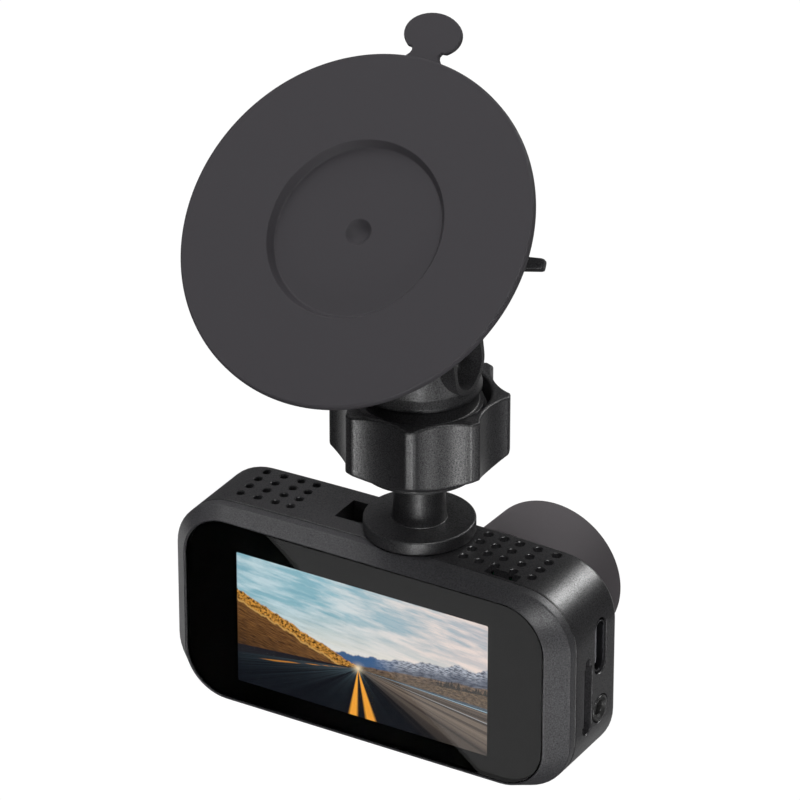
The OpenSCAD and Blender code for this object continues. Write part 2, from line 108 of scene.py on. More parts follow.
def rounded(points, steps):
    """A polyline whose corners (x, y, radius) are replaced by arcs."""
    out = []
    for i, point in enumerate(points):
        radius = point[2] if len(point) > 2 else 0
        if not radius or i in (0, len(points) - 1):
            out.append(tuple(point[:2]))
            continue
        corner = Vector(point[:2])
        back = Vector(points[i - 1][:2]) - corner
        ahead = Vector(points[i + 1][:2]) - corner
        u, v = back.normalized(), ahead.normalized()
        half = u.angle(v) / 2
        reach = min(radius / tan(half), 0.48 * back.length, 0.48 * ahead.length)
        centre = corner + (u + v).normalized() * (reach / cos(half))
        start, end = corner + u * reach - centre, corner + v * reach - centre
        first = atan2(start.y, start.x)
        turn = (atan2(end.y, end.x) - first + pi) % (2 * pi) - pi
        for k in range(steps + 1):
            a = first + turn * k / steps
            out.append((centre.x + start.length * cos(a), centre.y + start.length * sin(a)))
    return out


def outline(w, h, r, crown=0, steps=12, side=14):
    """A rectangle with round corners as a closed loop; crown is the radius of its long edges.

    Each corner's arc has steps pieces, and each straight edge has side pieces.
    """
    loop = []
    for cx, cy, first in ((1, 1, 0), (-1, 1, 90), (-1, -1, 180), (1, -1, 270)):
        middle = Vector((cx * (w / 2 - r), cy * (h / 2 - r)))
        for k in range(steps + 1):
            a = radians(first + 90 * k / steps)
            loop.append(middle + r * Vector((cos(a), sin(a))))
        start = loop[-1]
        end = Vector((-cy * (w / 2 - r), cx * (h / 2 - r))) + r * Vector((cos(a), sin(a)))
        loop += [start.lerp(end, k / side) for k in range(1, side)]
    if crown:
        for p in loop:
            p.y *= 1 - p.x * p.x / crown / h
    return loop


def mixed(a, b, t):
    return [p.lerp(q, t) for p, q in zip(a, b)]


def shrunk(loop, amount):
    """Each point moved inwards, square to its neighbours' chord."""
    out = []
    for i, p in enumerate(loop):
        along = (loop[(i + 1) % len(loop)] - loop[i - 1]).normalized()
        out.append(p - Vector((along.y, -along.x)) * amount)
    return out


def shifted(loop, x, y):
    return [p + Vector((x, y)) for p in loop]


def at_depth(loop, depth):
    return [Vector((p.x, p.y, depth)) for p in loop]


def circle(r, z, count=96, phase=0):
    return [Vector((r * cos(phase + 2 * pi * k / count), r * sin(phase + 2 * pi * k / count), z))
            for k in range(count)]


def raw(name, verts, faces, place):
    """A mesh object in millimetres in the row frame, with its normals turned outwards."""
    mesh = bpy.data.meshes.new(name)
    mesh.from_pydata([place @ Vector(v) for v in verts], [], faces)
    work = bmesh.new()
    work.from_mesh(mesh)
    bmesh.ops.remove_doubles(work, verts=work.verts, dist=1e-5)
    bmesh.ops.recalc_face_normals(work, faces=work.faces)
    work.to_mesh(mesh)
    work.free()
    piece = bpy.data.objects.new(name, mesh)
    bpy.context.collection.objects.link(piece)
    return piece


def loft(name, loops, place, ring=False):
    """Joins loops of equal length; the ends are capped, or joined to each other in a ring."""
    n = len(loops[0])
    verts = [p for loop in loops for p in loop]
    pairs = [(i, (i + 1) % len(loops)) for i in range(len(loops) - (0 if ring else 1))]
    faces = [(a * n + k, a * n + (k + 1) % n, b * n + (k + 1) % n, b * n + k)
             for a, b in pairs for k in range(n)]
    if not ring:
        faces += [tuple(range(n)), tuple(range(len(verts) - 1, len(verts) - 1 - n, -1))]
    return raw(name, verts, faces, place)


def lathe(name, profile, place, count, ring=False):
    """Turns a profile of (r, z) about the local Z axis; ring closes the profile on itself."""
    verts, rows = [], []
    for r, z in profile:
        if r < 1e-6:
            rows.append([len(verts)] * count)
            verts.append(Vector((0, 0, z)))
            continue
        rows.append(list(range(len(verts), len(verts) + count)))
        verts += circle(r, z, count)
    faces = []
    for i in range(len(rows) - (0 if ring else 1)):
        a, b = rows[i], rows[(i + 1) % len(rows)]
        for k in range(count):
            j = (k + 1) % count
            quad = []
            for v in (a[k], a[j], b[j], b[k]):
                if v not in quad:
                    quad.append(v)
            if len(quad) > 2:
                faces.append(tuple(quad))
    return raw(name, verts, faces, place)


def box(name, low, high, place, bevel=0.15):
    """A block with rounded edges."""
    verts = [Vector((x, y, z)) for x in (low[0], high[0]) for y in (low[1], high[1])
             for z in (low[2], high[2])]
    faces = [(0, 1, 3, 2), (4, 6, 7, 5), (0, 4, 5, 1), (2, 3, 7, 6), (0, 2, 6, 4), (1, 5, 7, 3)]
    piece = raw(name, verts, faces, place)
    if bevel:
        round_edges(piece, bevel)
    return piece


def apply(piece):
    """Makes a piece's modifiers final."""
    graph = bpy.context.evaluated_depsgraph_get()
    mesh = bpy.data.meshes.new_from_object(piece.evaluated_get(graph))
    piece.modifiers.clear()
    piece.data = mesh


def round_edges(piece, width):
    bevel = piece.modifiers.new("bevel", "BEVEL")
    bevel.width = width
    bevel.segments = 3
    bevel.limit_method = "ANGLE"
    bevel.angle_limit = radians(30)
    apply(piece)


def combine(piece, others, operation):
    """One boolean of a piece with several others, which are used up."""
    for other in others:
        work = piece.modifiers.new("boolean", "BOOLEAN")
        work.operation = operation
        work.solver = "EXACT"
        work.object = other
    apply(piece)
    for other in others:
        bpy.data.objects.remove(other)
    return piece


def merged(name, parts):
    """Separate closed shells as one object."""
    work = bmesh.new()
    for part in parts:
        work.from_mesh(part.data)
        bpy.data.objects.remove(part)
    mesh = bpy.data.meshes.new(name)
    work.to_mesh(mesh)
    work.free()
    piece = bpy.data.objects.new(name, mesh)
    bpy.context.collection.objects.link(piece)
    return piece


replaced = set()


def hand_in(piece, body, material, replaces=(), sharp=32):
    """Scales a piece to metres, shades it, and ties it to its CAD body; sharp is in degrees."""
    mesh = piece.data
    mesh.transform(Matrix.Scale(MM, 4))
    mesh.shade_smooth()
    mesh.set_sharp_from_angle(angle=radians(sharp))
    normals = piece.modifiers.new("normals", "WEIGHTED_NORMAL")
    normals.keep_sharp = True
    normals.weight = 60
    apply(piece)
    piece.data.materials.clear()
    piece.data.materials.append(material)
    piece.name = piece.data.name = piece.name.split(".")[0]
    if replaces:
        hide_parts(*replaces)
        replaced.update(replaces)
    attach(piece, body)
    return piece


# ---------------------------------------------------------------- materials

class Net:
    """Arithmetic on shader sockets, so that a pattern reads as a formula."""

    def __init__(self, name):
        self.material = bpy.data.materials.new(name)
        self.material.use_nodes = True
        self.tree = self.material.node_tree
        self.shader = self.tree.nodes["Principled BSDF"]
        self.place = self.tree.nodes.new("ShaderNodeTexCoord").outputs["Object"]

    def node(self, kind, **settings):
        made = self.tree.nodes.new(kind)
        for key, value in settings.items():
            setattr(made, key, value)
        return made

    def plug(self, socket, value):
        if isinstance(value, Field):
            value = value.socket
        if isinstance(value, bpy.types.NodeSocket):
            self.tree.links.new(value, socket)
        elif isinstance(value, (tuple, list)) and len(value) == 3 and socket.type == "RGBA":
            socket.default_value = (*value, 1)
        else:
            socket.default_value = value

    def math(self, operation, *inputs, clamp=False):
        made = self.node("ShaderNodeMath", operation=operation, use_clamp=clamp)
        for socket, value in zip(made.inputs, inputs):
            self.plug(socket, value)
        return Field(self, made.outputs[0])

    def noise(self, size_mm, detail, vector=None, stretch=(1, 1, 1), rough=0.5):
        """Noise with features of about size_mm, 0 to 1."""
        grid = self.node("ShaderNodeMapping")
        self.plug(grid.inputs["Vector"], vector or self.place)
        grid.inputs["Scale"].default_value = [s / (size_mm * MM) for s in stretch]
        made = self.node("ShaderNodeTexNoise")
        made.inputs["Scale"].default_value = 1
        made.inputs["Detail"].default_value = detail
        made.inputs["Roughness"].default_value = rough
        self.plug(made.inputs["Vector"], grid.outputs[0])
        return Field(self, made.outputs["Fac"])

    def mix(self, factor, a, b):
        made = self.node("ShaderNodeMix", data_type="RGBA")
        for socket, value in ((made.inputs[0], factor), (made.inputs[6], a), (made.inputs[7], b)):
            self.plug(socket, value)
        return Field(self, made.outputs[2])

    def axis(self, index):
        made = self.node("ShaderNodeSeparateXYZ")
        self.plug(made.inputs[0], self.place)
        return Field(self, made.outputs[index])

    def vector(self, x, y):
        made = self.node("ShaderNodeCombineXYZ")
        for socket, value in zip(made.inputs, (x, y)):
            self.plug(socket, value)
        return made.outputs[0]

    def bump(self, height, depth_mm):
        made = self.node("ShaderNodeBump")
        made.inputs["Strength"].default_value = 1
        made.inputs["Distance"].default_value = depth_mm * MM
        self.plug(made.inputs["Height"], height)
        self.plug(self.shader.inputs["Normal"], made.outputs[0])

    def set(self, **values):
        names = {"colour": "Base Color", "rough": "Roughness", "metal": "Metallic", "ior": "IOR",
                 "spec": "Specular IOR Level", "coat": "Coat Weight", "coat_rough": "Coat Roughness",
                 "clear": "Transmission Weight", "glow": "Emission Color",
                 "glow_power": "Emission Strength"}
        for key, value in values.items():
            self.plug(self.shader.inputs[names[key]], value)
        return self.material


class Field:
    """A shader socket that can be added, scaled and compared like a number."""

    def __init__(self, net, socket):
        self.net, self.socket = net, socket

    def __add__(self, other):
        return self.net.math("ADD", self, other)

    def __sub__(self, other):
        return self.net.math("SUBTRACT", self, other)

    def __rsub__(self, other):
        return self.net.math("SUBTRACT", other, self)

    def __mul__(self, other):
        return self.net.math("MULTIPLY", self, other)

    def __truediv__(self, other):
        return self.net.math("DIVIDE", self, other)

    def __rtruediv__(self, other):
        return self.net.math("DIVIDE", other, self)

    def above(self, edge, soft):
        """0 below the edge and 1 above it, over a soft width."""
        return self.net.math("ADD", (self - edge) / soft, 0.5, clamp=True)

    def below(self, edge, soft):
        return 1 - self.above(edge, soft)

    def between(self, low, high, soft):
        return self.above(low, soft) * self.below(high, soft)


def shade(colour, factor):
    return tuple(c * factor for c in colour)


# Sizes of the flow marks and of the bright specks in moulded plastic
FLOW_MM, SPECK_MM = 7, 0.2


def moulded(name, colour, rough, grain=0.22, depth=0.012, mottle=0.22, spec=0.5, speckled=0.0):
    """Moulded plastic or rubber: fine spark-eroded grain, faint flow marks, uneven gloss."""
    net = Net(name)
    fine = net.noise(grain, 2)
    broad = net.noise(FLOW_MM, 3)
    tone = fine * 0.65 + broad * 0.35
    if depth:
        net.bump(fine, depth)
    speckle = net.noise(SPECK_MM, 1) - 0.5
    return net.set(colour=net.mix(tone, shade(colour, 1 - mottle), shade(colour, 1 + mottle)),
                   rough=(broad - 0.5) * 0.1 + rough,
                   spec=speckle * speckled + spec)


def brushed(name, colour, rough, stretch=(1, 12, 12)):
    net = Net(name)
    lines = net.noise(0.9, 3, stretch=stretch)
    net.bump(lines, 0.004)
    return net.set(colour=net.mix(lines, shade(colour, 0.8), shade(colour, 1.1)),
                   rough=lines * 0.2 + (rough - 0.1), metal=1.0)


def coated_glass(name, tint, ior=1.5):
    net = Net(name)
    film = net.noise(9, 2)
    return net.set(colour=net.mix(film, tint, shade(tint, 0.92)), rough=film * 0.01, clear=1.0, ior=ior)


def circuit(name, colour):
    """Solder mask with fine copper traces under it and small bright pads."""
    net = Net(name)
    cells = net.node("ShaderNodeTexBrick")
    cells.inputs["Scale"].default_value = 1 / (2.2 * MM)
    cells.inputs["Mortar Size"].default_value = 0.03
    turn = net.node("ShaderNodeMapping")
    turn.inputs["Rotation"].default_value = (radians(90), 0, 0)
    net.plug(turn.inputs["Vector"], net.place)
    net.plug(cells.inputs["Vector"], turn.outputs[0])
    traces = Field(net, cells.outputs["Fac"])
    blotch = net.noise(1.4, 2)
    pads = blotch.above(0.66, 0.02) * net.noise(0.5, 1).above(0.5, 0.05)
    mask = net.mix(traces, colour, shade(colour, 1.9))
    net.bump(traces, 0.02)
    return net.set(colour=net.mix(pads, mask, (0.72, 0.6, 0.3)), rough=blotch * 0.2 + 0.25, coat=0.5)


def woven(name, colour):
    net = Net(name)
    threads = []
    for way in "XY":
        wave = net.node("ShaderNodeTexWave", bands_direction=way)
        wave.inputs["Scale"].default_value = 1 / (0.9 * MM)
        net.plug(wave.inputs["Vector"], net.place)
        threads.append(wave.outputs["Fac"])
    weave = net.math("MAXIMUM", *threads)
    net.bump(weave, 0.08)
    return net.set(colour=net.mix(weave, shade(colour, 0.4), shade(colour, 1.6)), rough=0.8)


# ---------------------------------------------------------------- the picture on the screen

PICTURE_W, PICTURE_H = 45.2, 23.2
PICTURE_X, PICTURE_Z = BODY_X - 0.41, BODY_TOP - 18.2


def road_picture(name):
    """A lit display: a generic mountain road at dusk, drawn with formulas."""
    net = Net(name)
    u = (net.axis(0) / MM - (PICTURE_X - PICTURE_W / 2)) / PICTURE_W
    v = (net.axis(2) / MM - (PICTURE_Z - PICTURE_H / 2)) / PICTURE_H
    horizon, vanish, tilt = 0.372, 0.487, 0.17
    w = v - (u - vanish) * tilt
    leaves = net.noise(0.018 / MM, 4, net.vector(u, w * 1.3), rough=0.7)

    # Sky: pale blue at the left, peach at the right, brightest above the horizon, with long streaks
    height = (w - horizon) / (1 - horizon)
    streaks = net.noise(0.11 / MM, 5, net.vector(u * 0.6, (v + u * 0.14) * 1.8), rough=0.6)
    wisps = net.noise(0.05 / MM, 4, net.vector(u * 0.35, (v + u * 0.22) * 1.9), rough=0.65)
    sky = net.mix(height.above(0.36, 0.55), (0.93, 0.85, 0.74), (0.27, 0.50, 0.58))
    sky = net.mix(u.above(0.72, 0.7) * height.above(0.2, 0.4) * 0.75, sky, (0.66, 0.52, 0.52))
    sky = net.mix(wisps.above(0.57, 0.2) * height.above(0.3, 0.4) * 0.5, sky, (0.16, 0.36, 0.47))
    white = net.mix(u.above(0.5, 0.6), (0.66, 0.80, 0.84), (0.96, 0.80, 0.72))
    sky = net.mix(streaks.above(0.52, 0.2) * 0.75, sky, white)

    # Slate mountains with snowy tops on the right, blue hills behind the road
    ragged = net.noise(0.09 / MM, 5, net.vector(u, 0.37), rough=0.55)
    top = (ragged - 0.5) * 0.16 + (u.above(0.75, 0.55) * 0.10 + (horizon + 0.10))
    snow = net.noise(0.018 / MM, 4, net.vector(u, w * 2.4)).above(0.5, 0.1) * (top - w).below(0.06, 0.06)
    rock = net.mix(net.noise(0.03 / MM, 4, net.vector(u, w * 2)).above(0.5, 0.3), (0.035, 0.045, 0.075),
                   (0.16, 0.18, 0.23))
    mountain = net.mix(snow * 0.7, rock, (0.62, 0.66, 0.74))
    mountain = net.mix(u.below(0.6, 0.12), mountain, (0.05, 0.12, 0.26))
    scene = net.mix((top - w).above(0, 0.012) * u.above(0.3, 0.04), sky, mountain)
    plain = (ragged - 0.5) * 0.05 + (u.above(0.7, 0.5) * 0.03 + (horizon + 0.025))
    scene = net.mix((plain - w).above(0, 0.012) * u.above(0.49, 0.02), scene,
                    net.mix(leaves.above(0.5, 0.25), (0.05, 0.035, 0.028), (0.22, 0.15, 0.10)))

    # Autumn hillside on the left: a band of lit trees, a bright edge, then streaked brown grass
    bumps = net.noise(0.035 / MM, 5, net.vector(u, 0.9), rough=0.6)
    slope = (vanish - u) * 0.86 + (horizon + 0.012) + (bumps - 0.5) * 0.06
    below = slope - w
    blades = net.noise(0.02 / MM, 4, net.vector(u * 0.5, (w + u * 0.62) * 3.2), rough=0.65)
    grass = net.mix(blades.above(0.5, 0.3), (0.018, 0.009, 0.006), (0.27, 0.12, 0.035))
    grass = net.mix(below.above(0.26, 0.3) * 0.6, grass, (0.012, 0.007, 0.006))
    crowns = net.noise(0.011 / MM, 4, net.vector(u, w * 0.6), rough=0.7)
    trees = net.mix(crowns.above(0.5, 0.2), (0.035, 0.015, 0.005), (0.78, 0.36, 0.06))
    hill = net.mix((below + bumps * 0.02).above(0.085, 0.02), trees, grass)
    hill = net.mix((below + bumps * 0.02).between(0.084, 0.094, 0.015) * 0.75, hill, (0.92, 0.55, 0.16))
    scene = net.mix(below.above(0, 0.012) * u.below(vanish, 0.01), scene, hill)

    # Small dark conifers on the right
    spikes = net.noise(0.009 / MM, 2, net.vector(u, 0.11))
    firs = (spikes - 0.45) * 0.16 + (horizon + 0.02)
    scene = net.mix((firs - w).above(0, 0.008) * u.above(0.78, 0.1) * 0.8, scene, (0.014, 0.018, 0.02))

    # Ground in perspective: near-black asphalt with radial streaks, then the shoulder and rail
    drop = net.math("MAXIMUM", horizon - w, 0.004)
    lane = (u - vanish) / drop
    rays = net.noise(0.3 / MM, 4, net.vector(lane, 0.2), rough=0.65)
    near_vanish = 0.0016 / (drop * drop + 0.0016)
    asphalt = net.mix(rays.above(0.55, 0.3) * near_vanish, (0.003, 0.004, 0.007), (0.15, 0.23, 0.27))
    shoulder = net.mix(rays.above(0.5, 0.25), (0.022, 0.017, 0.016), (0.21, 0.165, 0.13))
    ground = net.mix(lane.above(1.0, 0.9), asphalt, shoulder)
    verge = net.mix(leaves.above(0.5, 0.3), (0.045, 0.032, 0.024), (0.20, 0.14, 0.09))
    ground = net.mix(lane.above(4.0, 0.2), ground, verge)
    ground = net.mix(lane.between(4.0, 5.2, 0.2) * 0.75, ground, (0.05, 0.10, 0.15))
    for left, wide, paint in ((4.0, 0.22, (0.33, 0.48, 0.58)), (2.4, 0.07, (0.36, 0.38, 0.40)),
                              (-0.10, 0.09, (0.95, 0.40, 0.045)), (0.085, 0.10, (0.95, 0.40, 0.045))):
        ground = net.mix(lane.between(left, left + wide, 0.03), ground, paint)
    dashes = net.math("PINGPONG", 0.20 / drop, 1.0).above(0.45, 0.2)
    ground = net.mix(lane.between(-4.8, -4.1, 0.2) * dashes, ground, (0.50, 0.20, 0.03))
    ground = net.mix(lane.below(-7.5, 1.5), ground, (0.012, 0.012, 0.016))
    scene = net.mix(w.below(horizon, 0.006), scene, ground)

    # A car's lights where the road ends
    far_x, far_w = (u - vanish) / 0.02, (w - horizon - 0.005) / 0.035
    spark = 1 / (far_x * far_x + far_w * far_w + 1)
    scene = net.mix((spark * spark).above(0.5, 0.9) * 0.8, scene, (1.0, 0.83, 0.55))

    inside = u.between(0, 1, 0.004) * v.between(0, 1, 0.006)
    scene = net.mix(inside, (0, 0, 0), scene)
    return net.set(colour=net.mix(leaves, (0.004, 0.004, 0.005), (0.007, 0.007, 0.008)), rough=0.2,
                   glow=scene, glow_power=1.0)


SPARKLE = 1.4
RUBBER = moulded("cup_rubber", (0.030, 0.028, 0.0315), 0.62, grain=0.3, depth=0.003, mottle=0.05, spec=0.2)
MOUNT = moulded("mount_plastic", (0.012, 0.0118, 0.0128), 0.46, grain=0.3, depth=0.022, mottle=0.35,
                speckled=SPARKLE)
NUT = moulded("nut_plastic", (0.010, 0.0098, 0.0108), 0.45, grain=0.3, depth=0.022, mottle=0.35,
              speckled=SPARKLE)
LINER = moulded("liner_plastic", (0.72, 0.70, 0.64), 0.4, grain=0.5, mottle=0.04)
SHELL = moulded("shell_plastic", (0.016, 0.0156, 0.0168), 0.36, grain=0.26, depth=0.010, mottle=0.3,
                speckled=SPARKLE)
BARREL = moulded("barrel_plastic", (0.066, 0.060, 0.064), 0.7, grain=0.3, depth=0.008, mottle=0.1, spec=0.12)
BEZEL = moulded("bezel_plastic", (0.024, 0.0236, 0.026), 0.46, grain=0.3, depth=0.026, mottle=0.5,
                speckled=SPARKLE)
PORT = moulded("port_plastic", (0.012, 0.012, 0.012), 0.35, grain=0.5, depth=0.004)
CARD = moulded("card_plastic", (0.05, 0.048, 0.052), 0.4, grain=0.4, depth=0.004)
LENS_BLACK = moulded("lens_black", (0.008, 0.008, 0.008), 0.5, depth=0.01)
CHIP = moulded("chip_plastic", (0.02, 0.02, 0.022), 0.55, grain=0.15)
PAD = moulded("thermal_pad", (0.3, 0.38, 0.58), 0.7, grain=0.4, depth=0.02)
TONGUE = moulded("tongue_plastic", (0.14, 0.14, 0.15), 0.35, grain=0.5, depth=0.004)
PLUG_PLASTIC = moulded("connector_plastic", (0.75, 0.71, 0.6), 0.45, grain=0.4, mottle=0.05)
WRAP = moulded("cell_wrap", (0.4, 0.41, 0.43), 0.3, grain=1.2, depth=0.03, mottle=0.08)
RIBBON = moulded("polyimide", (0.5, 0.22, 0.04), 0.25, grain=0.6, depth=0.006, mottle=0.12)
STEEL = brushed("steel", (0.6, 0.6, 0.61), 0.28)
NICKEL = brushed("black_nickel", (0.05, 0.05, 0.055), 0.35)
TRAY = brushed("tray_metal", (0.7, 0.7, 0.72), 0.38, stretch=(12, 1, 12))
TIN = brushed("switch_metal", (0.55, 0.55, 0.56), 0.33)
BOARD = circuit("circuit_board", (0.01, 0.10, 0.045))
MESH = woven("mesh_fabric", (0.02, 0.02, 0.02))
GLASS = coated_glass("cover_glass", (1.0, 1.0, 1.0))
LENS_GLASS = coated_glass("lens_glass", (0.86, 0.9, 1.0), 1.6)
PRINT = moulded("printed_border", (0.003, 0.003, 0.003), 0.7, grain=0.4, depth=0, spec=0.0)
SCREEN = road_picture("screen")


# ---------------------------------------------------------------- suction mount

CUP_R = (cup_high.x - cup_low.x) / 2
RIM_T = 1.4
RECESS_R = 14.1
RECESS_DEPTH = 1.4


def suction_cup():
    dimple_r, dimple_up = 2.3, RECESS_DEPTH - 1.1
    arc = [(dimple_r * sin(a), -dimple_up - dimple_r * cos(a))
           for a in [radians(58) * k / 8 for k in range(9)]]
    profile = rounded(arc + [
        (2.1, -RECESS_DEPTH, 0.25), (RECESS_R - 0.75, -RECESS_DEPTH, 0.35), (RECESS_R, 0, 0.22),
        (CUP_R, 0, 0.4), (CUP_R, -RIM_T, 0.35), (20.5, -2.6, 2), (17.6, -3, 1), (6.5, -3.2, 0.8),
        (6.5, -7.4, 0.5), (2.4, -7.4, 0.2), (2.4, -6.2, 0.1), (4.8, -6.2, 0.2), (4.8, -2.8, 0.2),
        (0, -2.8)], 5)
    cup = lathe("rubber_cup", profile, CUP, 192)
    return combine(cup, [pull_tab()], "UNION")


def pull_tab():
    """The tab's outline is a wide head on a neck that flares into the rim."""
    head_w, head_h, neck, shift = 4.8, 3.45, 2.35, -0.2
    centre = CUP_R + 7.5 - head_h
    side = [(neck + 1.9, CUP_R - 1.6), (neck + 0.75, CUP_R - 0.2), (neck + 0.15, CUP_R + 0.5)]
    side += [(neck, CUP_R + 1.0), (neck + 0.18, CUP_R + 1.45)]
    first = radians(-47)
    side += [(head_w * cos(a), centre + head_h * sin(a))
             for a in [first + (pi / 2 - first) * k / 14 for k in range(15)]]
    loop = [Vector((x + shift, y)) for x, y in side]
    loop += [Vector((-x + shift, y)) for x, y in reversed(side[:-1])]
    levels = [(-1.35, 0.25), (-1.27, 0.08), (-1.1, 0), (-0.65, 0), (-0.5, 0.08), (-0.42, 0.25)]
    return loft("tab", [at_depth(shrunk(loop, i), z) for z, i in levels], CUP)


def cup_housing():
    profile = rounded([
        (15, -3.3), (17, -3.3, 0.3), (17, -5, 0.8), (13, -9, 0.6), (9.3, -9, 0.3), (9.3, -13, 0.2),
        (2.3, -13, 0.1), (2.3, -12, 0.1), (7.4, -12, 0.3), (7.4, -7.6, 0.3), (12.4, -7.6, 0.5),
        (15, -5, 0.4)], 4)
    return lathe("bell_housing", profile, CUP, 128, ring=True)


def lock_ring():
    """Twist ring with finger scallops and its slim tapered lever."""
    count, low, high = 240, -12.9, -9.3
    lobes = 30
    rim = 13

    def wheel(r, z, wave):
        return [Vector(((r + wave * cos(lobes * a)) * cos(a), (r + wave * cos(lobes * a)) * sin(a), z))
                for a in [2 * pi * k / count for k in range(count)]]

    section = [(9.6, low + 0.2, 0), (9.8, low, 0), (12.6, low, 0), (12.9, low + 0.15, 0.05),
               (rim, low + 0.5, 0.14), (rim, high - 0.5, 0.14), (12.9, high - 0.15, 0.05), (12.6, high, 0),
               (9.8, high, 0), (9.6, high - 0.2, 0)]
    ring = loft("twist_ring", [wheel(r - wave, z, wave) for r, z, wave in section], CUP, ring=True)
    lever_end, angle = 26.3, radians(10.8)
    place = CUP @ Matrix.Rotation(angle, 4, "Z") @ turned(Y, Z, X, (0, 0, (low + high) / 2))
    stations = [(12, 2.6, 0.8), (13.4, 2.2, 0.8), (16, 1.5, 0.8), (19, 1.2, 0.8), (23, 1.0, 0.8),
                (lever_end - 0.5, 0.88, 0.78), (lever_end - 0.12, 0.8, 0.7), (lever_end, 0.6, 0.5)]
    bar = loft("lever", [at_depth(outline(2 * w, 2 * t, 0.28, steps=4, side=3), x) for x, w, t in stations],
               place)
    return combine(ring, [bar], "UNION")


ARM_R = 9.0
BEND_R = 10.0
CAVITY_R = 8.66
LIP_Z = 22.9
REACH = ball.y / sin(TILT)
ELBOW_Z = -REACH * cos(TILT) - DISC_Z


def mount_arm():
    """A tube swept from the ball socket up the stem, round the elbow and along the cup's axis."""
    run = BEND_R * tan(TILT / 2)
    stem = rounded([
        (8.4, 9.5), (9.9, 12, 0.4), (9.9, 14.6), (10.35, 14.6), (10.35, 15.3), (9.9, 15.3), (9.9, 16.6),
        (10.35, 16.6), (10.35, 17.3), (9.9, 17.3), (9.9, 18.6), (10.35, 18.6), (10.35, 19.3),
        (9.9, 19.3), (9.9, 20.6, 0.2), (9.1, 20.6, 0.2), (9.1, LIP_Z, 0.15), (9.62, LIP_Z, 0.18),
        (9.62, LIP_Z + 0.7, 0.3), (9.25, LIP_Z + 1.9, 1.5), (ARM_R, 29)], 4)
    loops = [circle(r, z) for r, z in stem]
    loops.append(circle(ARM_R, ELBOW_Z - run))
    centre = Vector((0, -BEND_R, ELBOW_Z - run))
    for k in range(1, 13):
        a = TILT * k / 12
        turn = Matrix.Translation(centre) @ Matrix.Rotation(a, 4, "X") @ Matrix.Translation(-centre)
        loops.append([turn @ p for p in circle(ARM_R, ELBOW_Z - run)])
    to_stem = STEM.inverted() @ CUP
    for r, z in rounded([(ARM_R, -REACH + run), (ARM_R, -18.2, 2.5), (11, -15.4, 0.6), (11, -13.02, 0.2),
                         (10.4, -13.02)], 5)[1:]:
        loops.append([to_stem @ p for p in circle(r, z)])
    arm = loft("elbow_arm", loops, STEM)
    bowl = [(CAVITY_R * sin(a), BALL_Z - CAVITY_R * cos(a)) for a in [pi * k / 24 for k in range(1, 24)]]
    cuts = [lathe("cavity", [(0, 4.3)] + bowl + [(0, BALL_Z + CAVITY_R)], STEM, 64)]
    cuts.append(lathe("mouth", [(0, 8), (7.6, 8), (7.6, 12), (0, 12)], STEM, 64))
    for angle in (45, 135):
        turn = STEM @ Matrix.Rotation(radians(angle), 4, "Z")
        cuts.append(box("slit", (-12, -0.6, 8), (12, 0.6, 18.5), turn, bevel=0))
    rims = [flank_pocket(side, 0.85, 5.5, 9.55, 0.25) for side in (-1, 1)]
    cuts += [flank_pocket(side, 0, 5.2, 14, 0.9) for side in (-1, 1)]
    combine(arm, rims, "UNION")
    return combine(arm, cuts, "DIFFERENCE")


POCKET_LOW, POCKET_HIGH, POCKET_R = Vector((0, -1.3, 29.0)), Vector((0, -2.6, 36)), 3.6


def flank_pocket(side, grow, inner, outer, soft):
    """An oval plug whose inner end is rounded, through one flank of the arm."""
    axis = (POCKET_HIGH - POCKET_LOW).normalized()
    out = X * side
    place = STEM @ turned(axis.cross(out), axis, out, (POCKET_LOW + POCKET_HIGH) / 2)
    length = (POCKET_HIGH - POCKET_LOW).length + 2 * POCKET_R
    levels = [(inner, soft), (inner + 0.12 * soft, 0.5 * soft), (inner + 0.5 * soft, 0.12 * soft),
              (inner + soft, 0), (outer, 0)]
    loops = []
    for depth, inset in levels:
        r = POCKET_R + grow - inset
        loops.append(at_depth(outline(2 * r, length + 2 * (grow - inset), r - 0.01, steps=10, side=4), depth))
    return loft("pocket", loops, place)


# ---------------------------------------------------------------- ball joint

NUT_R, FLUTE_R, NUT_PHASE = 13.9, 11.9, 23.7
FLUTE_D = 21.3
NUT_TOP, NUT_BASE, NUT_BORE = 22, 8.7, 10.95


def nut_outline(count):
    """Eight narrow lands joined by concave flutes, with count points to each."""
    arc_r = FLUTE_D - FLUTE_R
    loop = []
    for k in range(8 * count):
        a = 2 * pi * k / (8 * count)
        off = (a + pi / 8) % (pi / 4) - pi / 8
        across = FLUTE_D * sin(off)
        r = NUT_R
        if abs(across) < arc_r:
            r = min(FLUTE_D * cos(off) - sqrt(arc_r ** 2 - across ** 2), NUT_R)
        turn = a + radians(NUT_PHASE + 22.5)
        loop.append(Vector((r * cos(turn), r * sin(turn))))
    return loop


COLLAR_R, CONE_Z, CONE_SLOPE = 9.4, 9.4, 0.578


